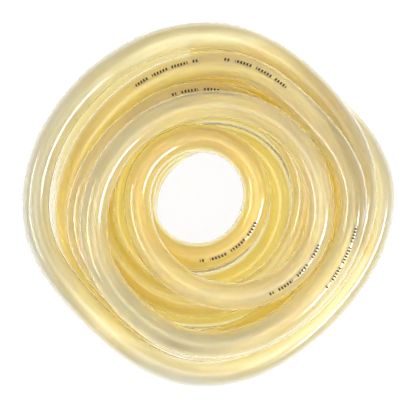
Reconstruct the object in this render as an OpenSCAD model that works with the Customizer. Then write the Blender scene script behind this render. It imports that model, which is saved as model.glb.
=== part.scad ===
// A loose coil of silicone tubing: one length of hollow round tube, wound in four levels.
// Units are millimetres. The coil lies flat with its lowest turns on z = 0, and its eye is near the z axis.
// The tube's centreline is a chain of quarter bends, each tangent to the next, with a straight cut end at both ends.

/* [Tube] */
// Outside diameter of the tube
tube_od = 21; // [16:0.5:28]
// Thickness of the tube's wall
wall = 2.5; // [1.5:0.25:4]
// Straight length at each cut end, where a hose barb goes in
end_length = 40; // [25:5:60]

/* [Coil] */
// Air left between one turn and the next
turn_gap = 0.4; // [0.3:0.1:2]

/* [Hidden] */
$fn = 48;
silicone = [0.93, 0.87, 0.66];

// Everything is laid out in pitches: one tube and its gap
pitch = tube_od + turn_gap;
bore_d = tube_od - 2 * wall;

// The half turns, in order along the tube. Each row holds how far out the tube's centreline is,
// in pitches, at the half turn's start, its far side and its end, then the levels of its start and its end,
// then how much its first and second bends are drawn in on their diagonals.
// Half turns start by turns on the right and on the left of the eye, so the far side is the back, then the front.
half_turns = [
    // Lowest level, from the outside in
    [5.70, 5.57, 5.45, 0, 0, 0, 0],
    [5.45, 5.07, 4.70, 0, 0, 0, 0],
    [4.70, 4.57, 4.45, 0, 0, 0, 0],
    [4.45, 4.07, 3.70, 0, 0, 0, 0],
    [3.70, 3.57, 3.45, 0, 0, 0, 0],
    [3.45, 2.99, 2.62, 0, 0, 0, 0],
    // Up the wall of the eye
    [2.62, 2.54, 2.45, 0, 0.5, 0, 0],
    [2.45, 1.95, 1.70, 0.5, 1.05, 0, 0],
    [1.70, 2.42, 2.50, 1.05, 1.57, 0, 0],
    [2.50, 1.85, 1.70, 1.57, 2.09, 0, 0],
    [1.70, 2.45, 2.60, 2.09, 2.7, 0, 0],
    [2.60, 3.25, 3.95, 2.7, 3, 0, 0],
    // Top level, from the inside out
    [3.95, 3.60, 4.15, 3, 3, 0, 0],
    [4.15, 4.95, 5.10, 3, 3, 0.03, 0.03],
    // Down two levels at the back
    [5.10, 5.10, 5.30, 3, 1, 0.08, 0.02],
    // Second level, from the outside in
    [5.30, 5.08, 4.70, 1, 1, 0.11, 0.03],
    [4.70, 4.48, 4.00, 1, 1, 0.06, 0.02],
    // Third level, from the inside out
    [4.00, 3.60, 3.45, 1, 2, 0.03, 0],
    [3.45, 4.02, 4.70, 2, 2, 0.03, 0.04],
    [4.70, 5.14, 5.55, 2, 2, 0.09, 0.03],
    [5.55, 6.15, 6.31, 2, 2, 0.045, 0.02],
    // Down to the second level at the front, where the outer end tucks under
    [6.31, 6.15, 6.31, 2, 1, 0.085, 0.05]
];
// How far back the outer end lies, and how much its bend is drawn in
last_reach = 5.60;
last_inset = 0.1;
turns = len(half_turns);

// A half turn lies in one plane, tilted when it climbs, and is two quarter bends of different radius
function across(k) = pitch * (half_turns[k][0] + half_turns[k][2]);
function rise(k) = pitch * (half_turns[k][4] - half_turns[k][3]);
function span(k) = norm([across(k), rise(k)]);
function side(k) = k % 2 == 0 ? 1 : -1;
// How far past the eye's axis each half turn starts, along the tube
function start_y(k) = k == 0 ? 0 : second_bend(k - 1) - pitch * half_turns[k - 1][1];
function first_bend(k) = pitch * half_turns[k][1] - start_y(k);
function second_bend(k) = span(k) - first_bend(k);

// A point and a heading on a half turn at an angle from 0 to 180 degrees, as [point, heading].
// A bend that is drawn in is flatter on its diagonal and rounder at its ends.
function on_turn(k, reach, y, level, a, b, c, s, inset, angle) =
    let (m = 1 - inset * pow(sin(2 * angle), 2), slope = -2 * inset * sin(4 * angle))
    let (q = angle < 90 ? a : b, x = q * m * cos(angle) - a)
    let (v = y + (angle < 90 ? 0 : a - b) + q * m * sin(angle))
    let (dx = slope * cos(angle) - m * sin(angle), dv = slope * sin(angle) + m * cos(angle))
    [
        [side(k) * (pitch * reach + x * c), side(k) * v, tube_od / 2 + pitch * level - x * s],
        [side(k) * dx * c, side(k) * dv, -dx * s] / norm([dx, dv])
    ];

// Wider bends get more steps, so that all of them are about as smooth
function steps(r) = r < 2.8 * pitch ? 4 : r < 4.6 * pitch ? 5 : 7;

function half_turn_stations(k) =
    let (a = first_bend(k), b = second_bend(k), y = start_y(k), h = half_turns[k])
    let (c = across(k) / span(k), s = rise(k) / span(k), na = steps(a), nb = steps(b))
    [
        for (i = [0 : na - 1]) on_turn(k, h[0], y, h[3], a, b, c, s, h[5], 90 * i / na),
        for (i = [0 : nb - 1]) on_turn(k, h[0], y, h[3], a, b, c, s, h[6], 90 + 90 * i / nb)
    ];

// The last quarter turn, which ends level along the back of the coil
last_y = start_y(turns);
last_bend = pitch * last_reach - last_y;
last_steps = steps(last_bend);
last_start = [half_turns[turns - 1][2], half_turns[turns - 1][4]];
function last_station(angle) =
    let (r = last_bend)
    on_turn(turns, last_start[0], last_y, last_start[1], r, r, 1, 0, last_inset, angle);

stations = [
    for (k = [0 : turns - 1]) each half_turn_stations(k),
    for (i = [0 : last_steps]) last_station(90 * i / last_steps)
];

// Sides of the tube's section in the wound length. The polygons lie just inside the wall of the straight ends.
outer_sides = 12;
bore_sides = 8;
outer_r = tube_od / 2 - 0.02;
bore_r = (bore_d / 2 + 0.02) / cos(180 / bore_sides);

// A ring of points around a station, level across the tube
function ring(st, r, n) =
    let (u = cross(st[1], [0, 0, 1]), across = u / norm(u), up = cross(across, st[1]))
    [for (i = [0 : n - 1]) st[0] + r * (cos(360 * i / n) * across + sin(360 * i / n) * up)];

// Triangles between ring j and the next one, for a wall whose rings of n points start at a given index
function wall_faces(first, n, count) = [
    for (j = [0 : count - 2], i = [0 : n - 1], half = [0, 1])
        let (p = first + j * n, q = first + (j + 1) * n, e = (i + 1) % n)
        half == 0 ? [p + i, q + i, q + e] : [p + i, q + e, p + e]
];

// The flat ring at an end: twelve outer and eight bore points, in four equal quarters
function end_faces(o, b) = [
    for (q = [0 : 3])
        let (o0 = o + 3 * q, o1 = o0 + 1, o2 = o0 + 2, o3 = o + (3 * q + 3) % 12)
        let (b0 = b + 2 * q, b1 = b0 + 1, b2 = b + (2 * q + 2) % 8)
        each [[o0, o1, b0], [o1, b1, b0], [o1, o2, b1], [o2, b2, b1], [o2, o3, b2]]
];

function turned(faces) = [for (f = faces) [f[2], f[1], f[0]]];

module wound_length() {
    count = len(stations);
    first_bore = count * outer_sides;
    points = [
        for (st = stations) each ring(st, outer_r, outer_sides),
        for (st = stations) each ring(st, bore_r, bore_sides)
    ];
    faces = concat(
        turned(wall_faces(0, outer_sides, count)),
        wall_faces(first_bore, bore_sides, count),
        turned(end_faces(0, first_bore)),
        end_faces((count - 1) * outer_sides, first_bore + (count - 1) * bore_sides)
    );
    polyhedron(points = points, faces = faces);
}

// A straight cut end with a true bore, from a station along a direction
module straight_end(at, turn) {
    translate(at)
        rotate([0, 0, turn])
            rotate([-90, 0, 0])
                difference() {
                    cylinder(d = tube_od, h = end_length);
                    translate([0, 0, -1])
                        cylinder(d = bore_d, h = end_length + 2);
                }
}

module tubing_coil() {
    color(silicone) {
        wound_length();
        straight_end(stations[0][0], 180);
        straight_end(stations[len(stations) - 1][0], 90);
    }
}

tubing_coil();
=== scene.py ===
"""A loose coil of translucent silicone tubing, seen from straight above on a white surface."""

import math

import bpy
import numpy as np
from bpy.props import FloatProperty, FloatVectorProperty, IntProperty, PointerProperty
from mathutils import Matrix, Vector


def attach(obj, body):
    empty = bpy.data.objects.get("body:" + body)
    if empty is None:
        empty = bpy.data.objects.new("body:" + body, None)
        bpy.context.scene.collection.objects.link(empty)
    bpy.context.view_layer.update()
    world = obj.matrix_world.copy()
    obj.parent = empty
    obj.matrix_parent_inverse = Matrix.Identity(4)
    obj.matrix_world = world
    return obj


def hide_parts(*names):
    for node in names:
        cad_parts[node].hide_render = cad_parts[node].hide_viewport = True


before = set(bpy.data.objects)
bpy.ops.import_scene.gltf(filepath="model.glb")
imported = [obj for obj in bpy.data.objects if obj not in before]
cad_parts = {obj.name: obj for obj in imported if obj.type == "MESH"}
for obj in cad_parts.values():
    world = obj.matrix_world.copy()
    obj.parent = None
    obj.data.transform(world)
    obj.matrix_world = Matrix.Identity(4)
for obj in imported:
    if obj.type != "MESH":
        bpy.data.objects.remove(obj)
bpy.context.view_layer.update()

bl_info = {
    "name": "Silicone tubing coil",
    "version": (1, 0, 0),
    "blender": (4, 5, 0),
    "location": "View3D > Sidebar > Tubing",
    "description": "Winds a coil of translucent silicone tube and sets up a soft white studio around it",
    "category": "Add Mesh",
}

# The half turns of the coil, in order along the tube, as in the part's source. Each row holds how far out
# the centreline is, in pitches, at the half turn's start, far side and end, then its start and end levels,
# then how much its first and second bends are drawn in on their diagonals.
HALF_TURNS = (
    # Lowest level, from the outside in
    (5.70, 5.57, 5.45, 0, 0, 0, 0),
    (5.45, 5.07, 4.70, 0, 0, 0, 0),
    (4.70, 4.57, 4.45, 0, 0, 0, 0),
    (4.45, 4.07, 3.70, 0, 0, 0, 0),
    (3.70, 3.57, 3.45, 0, 0, 0, 0),
    (3.45, 2.99, 2.62, 0, 0, 0, 0),
    # Up the wall of the eye
    (2.62, 2.54, 2.45, 0, 0.5, 0, 0),
    (2.45, 1.95, 1.70, 0.5, 1.05, 0, 0),
    (1.70, 2.42, 2.50, 1.05, 1.57, 0, 0),
    (2.50, 1.85, 1.70, 1.57, 2.09, 0, 0),
    (1.70, 2.45, 2.60, 2.09, 2.7, 0, 0),
    (2.60, 3.25, 3.95, 2.7, 3, 0, 0),
    # Top level, from the inside out
    (3.95, 3.60, 4.15, 3, 3, 0, 0),
    (4.15, 4.95, 5.10, 3, 3, 0.03, 0.03),
    # Down two levels at the back
    (5.10, 5.10, 5.30, 3, 1, 0.08, 0.02),
    # Second level, from the outside in
    (5.30, 5.08, 4.70, 1, 1, 0.11, 0.03),
    (4.70, 4.48, 4.00, 1, 1, 0.06, 0.02),
    # Third level, from the inside out
    (4.00, 3.60, 3.45, 1, 2, 0.03, 0),
    (3.45, 4.02, 4.70, 2, 2, 0.03, 0.04),
    (4.70, 5.14, 5.55, 2, 2, 0.09, 0.03),
    (5.55, 6.15, 6.31, 2, 2, 0.045, 0.02),
    # Down to the second level at the front, where the outer end tucks under
    (6.31, 6.15, 6.31, 2, 1, 0.085, 0.05),
)
LAST_REACH = 5.60
LAST_INSET = 0.1
# The middle of the eye, in metres like the distances below
EYE = (-0.008, 0.004)

# Painted shade: how deep in the coil a place lies sets how far its silicone colour goes towards deep amber,
# standing in for shade and for light passed through other turns.
# How far from the eye's middle a place starts to count and counts in full, as the wall of the eye and as
# one of the turns inside the outer ones
EYE_WALL = (0.072, 0.046)
INNER_TURNS = (0.145, 0.105)
# How near other turns count as packed around a place, and the rise over which turns above it count more
NEAR_TURNS = 0.04
TURNS_ABOVE = 0.07
# The shares of the three in how deep a place lies, which sets its painted shade
INNER_SHARE = 0.3
PACKED_SHARE = 0.55
WALL_SHARE = 0.5
# Portions in which the places on the tube are worked through, which spares memory
PORTIONS = 40
# How far from the eye's middle the floor starts to be white and is all white, in the eye and outside
FLOOR_IN_EYE = (0.05, 0.042)
FLOOR_OUTSIDE = (0.126, 0.138)
# How much of the floor is plain white where it is seen by the camera, and in gloss or through clear walls
FLOOR_SEEN = 0.93
FLOOR_IN_GLOSS = 0.9
# How much stronger the surround is from the right, and from the front
MORE_FROM_RIGHT = 0.12
MORE_FROM_FRONT = 0.3

# Points along each straight end
END_STEPS = 8

# Where printed dashes lie: a half turn, and an angle along it in degrees
PRINT_SPOTS = ((11, 137), (9, 128), (13, 158), (18, 88), (14, 74), (14, 108))
# Half the length of a line of print, and its dashes and groups of dashes along the tube, in metres
PRINT_REACH = 0.026
DASH_STEP = 0.0024
DASH_LENGTH = 0.0014
GROUP_STEP = 0.0163
GROUP_LENGTH = 0.0128
# The middle and half the height of the print, in turns around the tube
PRINT_TURN = 0.2
PRINT_HALF_HEIGHT = 0.017

# The height at which the view's width is measured, and how far the camera stands off the middle
MID_HEIGHT = 0.045
CAMERA_Y = -0.0035

# The colour among the outputs of a Mix node, which all have the same name
MIX_COLOUR = 2
WHITE = (1.0, 1.0, 1.0, 1.0)


class TubingSettings(bpy.types.PropertyGroup):
    """Sizes and colours of the tube."""

    outside: FloatProperty(
        name="Outside diameter",
        description="Outside diameter of the tube",
        default=0.021,
        min=0.001,
        unit="LENGTH",
    )
    wall: FloatProperty(
        name="Wall",
        description="Thickness of the tube's wall",
        default=0.0025,
        min=0.0005,
        unit="LENGTH",
    )
    gap: FloatProperty(
        name="Turn gap",
        description="Air between one turn and the next",
        default=0.0004,
        min=0.0,
        unit="LENGTH",
    )
    straight: FloatProperty(
        name="Cut end",
        description="Straight length at each cut end",
        default=0.04,
        min=0.0,
        unit="LENGTH",
    )
    sides: IntProperty(
        name="Sides",
        description="Points around the tube's section",
        default=44,
        min=8,
    )
    quarter_steps: IntProperty(
        name="Steps",
        description="Steps along each quarter bend",
        default=20,
        min=4,
    )
    colour: FloatVectorProperty(
        name="Silicone",
        description="Colour of the silicone just in from the outermost turns",
        subtype="COLOR",
        size=3,
        default=(0.985, 0.912, 0.66),
        min=0.0,
        max=1.0,
    )
    # Painted light: the open outside of the coil is painted this greyer colour for how light falls on and
    # through it there.
    painted_rim_colour: FloatVectorProperty(
        name="Outside rim",
        description="Colour of the silicone on the outside of the coil, where it is clearest",
        subtype="COLOR",
        size=3,
        default=(0.75, 0.725, 0.62),
        min=0.0,
        max=1.0,
    )
    # Painted shade: the outermost turns are painted this darker colour for how the light falls on them.
    painted_outer_colour: FloatVectorProperty(
        name="Outer turns",
        description="Colour of the silicone in the outermost turns",
        subtype="COLOR",
        size=3,
        default=(0.73, 0.655, 0.43),
        min=0.0,
        max=1.0,
    )
    # Painted shade: deep in the coil and near the eye the silicone is painted this deep amber for the shade
    # there and the light that reaches it only through other turns.
    painted_deep_colour: FloatVectorProperty(
        name="Painted deep shade",
        description="Colour of the silicone deep in the coil, where it has yellowed",
        subtype="COLOR",
        size=3,
        default=(0.996, 0.865, 0.395),
        min=0.0,
        max=1.0,
    )
    ink: FloatVectorProperty(
        name="Ink",
        description="Colour of the printed dashes",
        subtype="COLOR",
        size=3,
        default=(0.04, 0.025, 0.012),
        min=0.0,
        max=1.0,
    )


class StudioSettings(bpy.types.PropertyGroup):
    """Camera and light."""

    height: FloatProperty(
        name="Camera height",
        description="Height of the camera over the surface",
        default=1.35,
        min=0.3,
        unit="LENGTH",
    )
    view_width: FloatProperty(
        name="View width",
        description="Width of the picture at half the coil's height",
        default=0.327,
        min=0.05,
        unit="LENGTH",
    )
    key_power: FloatProperty(
        name="Key light",
        description="Power of the light from the right",
        default=20.0,
        min=0.0,
        unit="POWER",
    )
    fill_power: FloatProperty(
        name="Fill light",
        description="Power of the light from the left",
        default=6.0,
        min=0.0,
        unit="POWER",
    )
    top_power: FloatProperty(
        name="Top light",
        description="Power of the broad light overhead",
        default=4.0,
        min=0.0,
        unit="POWER",
    )
    surround: FloatProperty(
        name="Surround",
        description="Strength of the soft light from all around",
        default=1.15,
        min=0.0,
    )


class Socket:
    """A shader socket that takes part in Python expressions."""

    def __init__(self, tree, out):
        self.tree = tree
        self.out = out

    def node(self, kind, settings=None, out=0, **values):
        """Adds a node to the socket's own tree."""
        return make_node(self.tree, kind, settings, out, **values)

    def math(self, operation, *values):
        """Adds a Math node for one or two values."""
        names = ("Value", "Value_001")
        return self.node("ShaderNodeMath", {"operation": operation}, **dict(zip(names, values)))

    def __add__(self, other):
        return self.math("ADD", self, other)

    def __radd__(self, other):
        return self.math("ADD", other, self)

    def __sub__(self, other):
        return self.math("SUBTRACT", self, other)

    def __rsub__(self, other):
        return self.math("SUBTRACT", other, self)

    def __mul__(self, other):
        return self.math("MULTIPLY", self, other)

    def __rmul__(self, other):
        return self.math("MULTIPLY", other, self)

    def __mod__(self, other):
        return self.math("FLOORED_MODULO", self, other)

    def __rmod__(self, other):
        return self.math("FLOORED_MODULO", other, self)

    def __lt__(self, other):
        return self.math("LESS_THAN", self, other)

    def __gt__(self, other):
        return self.math("GREATER_THAN", self, other)

    def __abs__(self):
        return self.math("ABSOLUTE", self)


def make_node(tree, kind, settings=None, out=0, **values):
    """Adds a node of a type with its settings and the values or links of its inputs, and gives an output."""
    node = tree.nodes.new(kind)
    for key, value in (settings or {}).items():
        if key == "stops":
            fill_ramp(node.color_ramp, value)
        else:
            setattr(node, key, value)
    for key, value in values.items():
        target = find_input(node, key)
        if isinstance(value, Socket):
            tree.links.new(value.out, target)
        else:
            target.default_value = value
    return Socket(tree, node.outputs[out]) if node.outputs else None


def find_input(node, key):
    """An input by identifier, or by its name with underscores for spaces."""
    for socket in node.inputs:
        if socket.identifier == key and socket.enabled:
            return socket
    for socket in node.inputs:
        if socket.name.replace(" ", "_") == key and socket.enabled:
            return socket
    raise KeyError(f"{node.bl_idname} has no input {key}")


def fill_ramp(ramp, stops):
    """Sets a colour ramp's stops, each a place and a colour."""
    while len(ramp.elements) < len(stops):
        ramp.elements.new(1.0)
    for element, (at, colour) in zip(ramp.elements, stops):
        element.position = at
        element.color = colour


def new_material(name):
    """An empty material and its node tree."""
    material = bpy.data.materials.new(name)
    material.use_nodes = True
    material.node_tree.nodes.clear()
    return material, material.node_tree


def finish_material(tree, shader):
    """Links the shader to the material's output."""
    make_node(tree, "ShaderNodeOutputMaterial", Surface=shader)


def silicone_material(settings, spots):
    """Milky silicone: light goes through it, it glows from within, and it has a soft gloss."""
    material, tree = new_material("silicone_cream")
    uv = make_node(tree, "ShaderNodeUVMap", {"uv_map": "along_around"})
    along = uv.node("ShaderNodeSeparateXYZ", None, "X", Vector=uv)
    around = uv.node("ShaderNodeSeparateXYZ", None, "Y", Vector=uv)
    place = make_node(tree, "ShaderNodeTexCoord", None, "Object")
    cloud = place.node("ShaderNodeTexNoise", Vector=place, Scale=9.0, Detail=3.0)
    haze = place.node("ShaderNodeTexNoise", Vector=place, Scale=160.0, Detail=4.0)
    draw_lines = around.node(
        "ShaderNodeTexNoise",
        {"noise_dimensions": "2D"},
        Vector=around.node("ShaderNodeCombineXYZ", X=along * 2.0, Y=around * 40.0),
        Scale=1.0,
        Detail=2.0,
    )
    yellowed = cloud.node("ShaderNodeMapRange", Value=cloud, From_Min=0.35, From_Max=0.7)
    shade_amount = make_node(tree, "ShaderNodeAttribute", {"attribute_name": "enclosure"}, "Fac")
    # Painted light and shade: one silicone is coloured by how deep in the coil a place lies, from the greyer
    # open rim through the darker outer turns and the cream to deep amber in painted shade, with a random
    # shift from the cloud noise.
    stops = (
        (0.0, settings.painted_rim_colour),
        (0.14, settings.painted_outer_colour),
        (0.24, settings.colour),
        (1.0, settings.painted_deep_colour),
    )
    base = make_node(
        tree,
        "ShaderNodeValToRGB",
        {"stops": [(at, (*colour, 1.0)) for at, colour in stops]},
        Fac=shade_amount + (yellowed - 0.5) * 0.2,
    )
    ink = print_mask(along, around, spots)
    base = make_node(
        tree,
        "ShaderNodeMix",
        {"data_type": "RGBA"},
        MIX_COLOUR,
        Factor_Float=ink,
        A_Color=base,
        B_Color=(*settings.ink, 1.0),
    )
    bump = make_node(
        tree,
        "ShaderNodeBump",
        Strength=0.06,
        Distance=0.0006,
        Height=draw_lines * 0.8 + haze * 0.2,
    )
    body = make_node(
        tree,
        "ShaderNodeBsdfPrincipled",
        Base_Color=base,
        Roughness=0.3 + haze * 0.12,
        IOR=1.05,
        Coat_Weight=0.6,
        Coat_Roughness=0.17,
        Coat_IOR=1.8,
        Transmission_Weight=0.92,
        Subsurface_Weight=1.0,
        Subsurface_Radius=(1.0, 0.72, 0.34),
        Subsurface_Scale=0.02,
        Sheen_Weight=0.4,
        Sheen_Roughness=0.35,
        Normal=bump,
    )
    dry_ink = make_node(
        tree,
        "ShaderNodeBsdfPrincipled",
        Base_Color=(*settings.ink, 1.0),
        Roughness=0.6,
        Specular_IOR_Level=0.2,
        Normal=bump,
    )
    finish_material(tree, make_node(tree, "ShaderNodeMixShader", Fac=ink, Shader=body, Shader_001=dry_ink))
    return material


def print_mask(along, around, spots):
    """Short lines of plain dashes along the tube at the print spots, on the upper outer side."""
    near = None
    for spot in spots:
        here = abs(along - spot) < PRINT_REACH
        near = here if near is None else near + here
    dash = ((along % DASH_STEP) < DASH_LENGTH) * ((along % GROUP_STEP) < GROUP_LENGTH)
    line = abs(around - PRINT_TURN) < PRINT_HALF_HEIGHT
    return near * dash * line


def share(values, start, full):
    """How far each value has come from a start, 0, to a full value, 1."""
    return np.clip((values - start) / (full - start), 0.0, 1.0)


def enclosure(places, points):
    """How much painted shade each place gets, from 0 to 1: how deep in the coil it lies, by the turns around
    and over it and by its nearness to the eye.
    """
    line = np.array([tuple(p) for p in points])
    step = np.gradient(np.array(lengths_along(points)))
    packed = []
    for part in np.array_split(places, PORTIONS):
        apart = np.linalg.norm(part[:, None] - line[None, :], axis=2)
        over = np.clip((line[None, :, 2] - part[:, None, 2]) / TURNS_ABOVE + 0.5, 0.0, 1.0)
        packed.append((np.exp(-((apart / NEAR_TURNS) ** 2)) * over * step[None, :]).sum(axis=1))
    packed = np.concatenate(packed)
    packed = share(packed, *np.percentile(packed, (15, 75)))
    from_eye = np.hypot(places[:, 0] - EYE[0], places[:, 1] - EYE[1])
    wall = share(from_eye, *EYE_WALL)
    inward = share(from_eye, *INNER_TURNS)
    return np.clip(INNER_SHARE * inward + PACKED_SHARE * packed + WALL_SHARE * wall, 0.0, 1.0)


def bend_point(angle, inset):
    """A place on a bend of radius 1 and its heading. The bend is drawn in on its diagonal by the inset."""
    m = 1 - inset * math.sin(2 * angle) ** 2
    slope = -2 * inset * math.sin(4 * angle)
    c, s = math.cos(angle), math.sin(angle)
    return m * c, m * s, slope * c - m * s, slope * s + m * c


def centreline(settings):
    """The tube's centreline as points and headings, from the lower cut end to the upper one."""
    pitch = settings.outside + settings.gap
    radius = settings.outside / 2
    n = settings.quarter_steps
    points = []
    headings = []

    def add(x, y, z, heading):
        points.append(Vector((x, y, z)))
        headings.append(Vector(heading).normalized())

    for i in range(END_STEPS):
        add(pitch * HALF_TURNS[0][0], settings.straight * (i / END_STEPS - 1), radius, (0, 1, 0))
    y = 0.0
    for k, (start, far, end, low, high, first_in, second_in) in enumerate(HALF_TURNS):
        across = pitch * (start + end)
        rise = pitch * (high - low)
        span = math.hypot(across, rise)
        c, s = across / span, rise / span
        first = pitch * far - y
        second = span - first
        side = 1 if k % 2 == 0 else -1
        for i in range(2 * n):
            radius_here = first if i < n else second
            dx, dy, vx, vy = bend_point(math.pi * i / (2 * n), first_in if i < n else second_in)
            reach = radius_here * dx - first
            shift = y + (0.0 if i < n else first - second) + radius_here * dy
            add(
                side * (pitch * start + reach * c),
                side * shift,
                radius + pitch * low - reach * s,
                (side * vx * c, side * vy, -vx * s),
            )
        y = second - pitch * far
    start, level = HALF_TURNS[-1][2], HALF_TURNS[-1][4]
    bend = pitch * LAST_REACH - y
    for i in range(n + 1):
        dx, dy, vx, vy = bend_point(math.pi / 2 * i / n, LAST_INSET)
        add(pitch * start + bend * (dx - 1), y + bend * dy, radius + pitch * level, (vx, vy, 0))
    last = points[-1].copy()
    for i in range(1, END_STEPS + 1):
        add(last.x - settings.straight * i / END_STEPS, last.y, last.z, (-1, 0, 0))
    return points, headings


def lengths_along(points):
    """The length along the tube at each point of the centreline."""
    total = 0.0
    out = [0.0]
    for a, b in zip(points, points[1:]):
        total += (b - a).length
        out.append(total)
    return out


def tube_mesh(name, settings, points, headings):
    """A hollow tube along the centreline with square-cut ends, mapped by length along and turn around."""
    n = settings.sides
    outer = settings.outside / 2
    inner = outer - settings.wall
    verts = []
    for r in (outer, inner):
        for p, t in zip(points, headings):
            side = t.cross(Vector((0, 0, 1))).normalized()
            up = side.cross(t)
            for i in range(n):
                a = 2 * math.pi * i / n
                verts.append(p + side * (r * math.cos(a)) + up * (r * math.sin(a)))
    count = len(points)
    bore = count * n
    faces = []
    for j in range(count - 1):
        for i in range(n):
            e = (i + 1) % n
            a, b, c, d = j * n + i, j * n + e, (j + 1) * n + e, (j + 1) * n + i
            faces.append((a, b, c, d))
            faces.append((bore + d, bore + c, bore + b, bore + a))
    for j, flip in ((0, True), (count - 1, False)):
        for i in range(n):
            e = (i + 1) % n
            quad = (j * n + i, j * n + e, bore + j * n + e, bore + j * n + i)
            faces.append(tuple(reversed(quad)) if flip else quad)
    mesh = bpy.data.meshes.new(name)
    mesh.from_pydata([tuple(v) for v in verts], [], faces)
    along = lengths_along(points)
    uv = mesh.uv_layers.new(name="along_around")
    for poly in mesh.polygons:
        angles = [mesh.loops[k].vertex_index % n for k in poly.loop_indices]
        wraps = max(angles) - min(angles) > n / 2
        for k, i in zip(poly.loop_indices, angles):
            station = (mesh.loops[k].vertex_index // n) % count
            turn = i / n + (1.0 if wraps and i < n / 2 else 0.0)
            uv.data[k].uv = (along[station], turn)
        poly.use_smooth = poly.index < len(faces) - 2 * n
    # Painted shade: how deep in the coil each place lies, kept on the mesh to set the silicone's colour.
    packed = mesh.attributes.new("enclosure", "FLOAT", "POINT")
    depth = enclosure(np.array([tuple(v) for v in verts[:bore]]), points)
    packed.data.foreach_set("value", np.concatenate((depth, depth)))
    mesh.update()
    return mesh, along[-1]


class TUBING_OT_stage(bpy.types.Operator):
    """Adds the camera, the white surface, the lights and the surround"""

    bl_idname = "tubing.stage"
    bl_label = "Stage"

    def execute(self, context):
        settings = context.scene.tubing_studio
        add_camera(context, settings)
        add_surface()
        add_lights(context, settings)
        add_surround(context, settings)
        return {"FINISHED"}


def add_camera(context, settings):
    """A camera straight above the coil."""
    data = bpy.data.cameras.new("camera")
    camera = bpy.data.objects.new("camera", data)
    context.scene.collection.objects.link(camera)
    camera.location = (0.0, CAMERA_Y, settings.height)
    data.sensor_fit = "HORIZONTAL"
    data.angle = 2 * math.atan(settings.view_width / 2 / (settings.height - MID_HEIGHT))
    data.clip_end = 20.0
    context.scene.camera = camera


def ray_kinds(tree):
    """Whether a ray comes from the camera, and whether it comes off gloss or through a clear wall."""
    camera = make_node(tree, "ShaderNodeLightPath", None, "Is Camera Ray")
    glossy = make_node(tree, "ShaderNodeLightPath", None, "Is Glossy Ray")
    through = make_node(tree, "ShaderNodeLightPath", None, "Is Transmission Ray")
    return camera, camera.math("MAXIMUM", glossy, through)


def pale_when_seen(tree, shader):
    """The floor's shader, seen as plain white in the eye, around the coil and in clear walls and gloss."""
    camera, clear_wall = ray_kinds(tree)
    place = make_node(tree, "ShaderNodeTexCoord", None, "Object")
    from_eye = place.node(
        "ShaderNodeVectorMath",
        {"operation": "DISTANCE"},
        "Value",
        Vector=place,
        Vector_001=(*EYE, 0.0),
    )
    bare = None
    for start, full in (FLOOR_IN_EYE, FLOOR_OUTSIDE):
        here = place.node("ShaderNodeMapRange", Value=from_eye, From_Min=start, From_Max=full)
        bare = here if bare is None else bare + here
    seen = camera.math("MAXIMUM", camera * bare * FLOOR_SEEN, clear_wall * FLOOR_IN_GLOSS)
    white = make_node(tree, "ShaderNodeEmission", Color=WHITE, Strength=1.0)
    return make_node(tree, "ShaderNodeMixShader", Fac=seen, Shader=shader, Shader_001=white)


def add_surface():
    """The white surface that the coil lies on."""
    bpy.ops.mesh.primitive_plane_add(size=6.0, location=(0, 0, 0))
    surface = bpy.context.object
    surface.name = "white_surface"
    material, tree = new_material("white_surface")
    grain = make_node(tree, "ShaderNodeTexNoise", Scale=300.0, Detail=2.0)
    matt = make_node(
        tree,
        "ShaderNodeBsdfPrincipled",
        Base_Color=(0.93, 0.93, 0.92, 1.0),
        Roughness=0.7 + grain * 0.1,
    )
    finish_material(tree, pale_when_seen(tree, matt))
    surface.data.materials.append(material)


def add_lights(context, settings):
    """Two long lamps at the sides and a broad one overhead, all turned to the coil."""
    spots = (
        ("key_light", (0.9, -0.45, 0.95), settings.key_power, 0.8, 0.1),
        ("fill_light", (-0.95, -0.1, 0.85), settings.fill_power, 0.8, 0.1),
        ("top_light", (0.1, -0.3, 1.65), settings.top_power, 1.0, 1.0),
    )
    for name, place, power, wide, tall in spots:
        data = bpy.data.lights.new(name, "AREA")
        data.shape = "RECTANGLE"
        data.size = wide
        data.size_y = tall
        data.energy = power
        light = bpy.data.objects.new(name, data)
        context.scene.collection.objects.link(light)
        light.location = place
        light.rotation_euler = Vector(place).to_track_quat("Z", "Y").to_euler()


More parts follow.
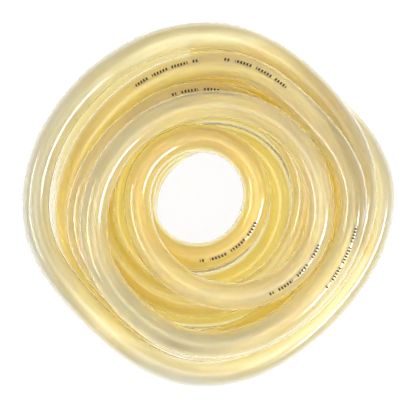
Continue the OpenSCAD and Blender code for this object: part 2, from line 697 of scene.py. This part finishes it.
def add_surround(context, settings):
    """Soft light from all around, a little more of it from the front right, and white where it is seen."""
    world = bpy.data.worlds.new("surround")
    world.use_nodes = True
    tree = world.node_tree
    tree.nodes.clear()
    camera, clear_wall = ray_kinds(tree)
    way = make_node(tree, "ShaderNodeTexCoord", None, "Generated")
    right = way.node("ShaderNodeSeparateXYZ", None, "X", Vector=way)
    back = way.node("ShaderNodeSeparateXYZ", None, "Y", Vector=way)
    even = make_node(
        tree,
        "ShaderNodeBackground",
        Color=(1.0, 0.99, 0.97, 1.0),
        Strength=(1.0 + right * MORE_FROM_RIGHT - back * MORE_FROM_FRONT) * settings.surround,
    )
    white = make_node(tree, "ShaderNodeBackground", Color=WHITE, Strength=1.0)
    seen = camera.math("MAXIMUM", camera, clear_wall)
    mixed = make_node(tree, "ShaderNodeMixShader", Fac=seen, Shader=even, Shader_001=white)
    make_node(tree, "ShaderNodeOutputWorld", Surface=mixed)
    context.scene.world = world
    context.scene.view_settings.view_transform = "Standard"


class TUBING_OT_coil(bpy.types.Operator):
    """Winds the tube into its coil"""

    bl_idname = "tubing.coil"
    bl_label = "Tubing coil"

    def execute(self, context):
        settings = context.scene.tubing
        points, headings = centreline(settings)
        mesh, length = tube_mesh("silicone_tube", settings, points, headings)
        tube = bpy.data.objects.new("silicone_tube", mesh)
        context.scene.collection.objects.link(tube)
        along = lengths_along(points)
        n = settings.quarter_steps
        spots = [along[END_STEPS + 2 * n * turn + round(angle * n / 90)] for turn, angle in PRINT_SPOTS]
        mesh.materials.append(silicone_material(settings, spots))
        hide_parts("tubing_coil")
        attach(tube, "root")
        return {"FINISHED"}


class TUBING_PT_panel(bpy.types.Panel):
    """The coil's sizes, colours and steps"""

    bl_idname = "TUBING_PT_panel"
    bl_label = "Tubing coil"
    bl_space_type = "VIEW_3D"
    bl_region_type = "UI"
    bl_category = "Tubing"

    def draw(self, context):
        layout = self.layout
        tube = context.scene.tubing
        studio = context.scene.tubing_studio
        for name in TubingSettings.__annotations__:
            layout.prop(tube, name)
        for name in StudioSettings.__annotations__:
            layout.prop(studio, name)
        layout.operator(TUBING_OT_stage.bl_idname)
        layout.operator(TUBING_OT_coil.bl_idname)


CLASSES = (TubingSettings, StudioSettings, TUBING_OT_stage, TUBING_OT_coil, TUBING_PT_panel)


def register():
    for cls in CLASSES:
        bpy.utils.register_class(cls)
    bpy.types.Scene.tubing = PointerProperty(type=TubingSettings)
    bpy.types.Scene.tubing_studio = PointerProperty(type=StudioSettings)


def unregister():
    del bpy.types.Scene.tubing_studio
    del bpy.types.Scene.tubing
    for cls in reversed(CLASSES):
        bpy.utils.unregister_class(cls)


def main():
    register()
    bpy.ops.tubing.stage()
    bpy.ops.tubing.coil()


if __name__ == "__main__":
    main()
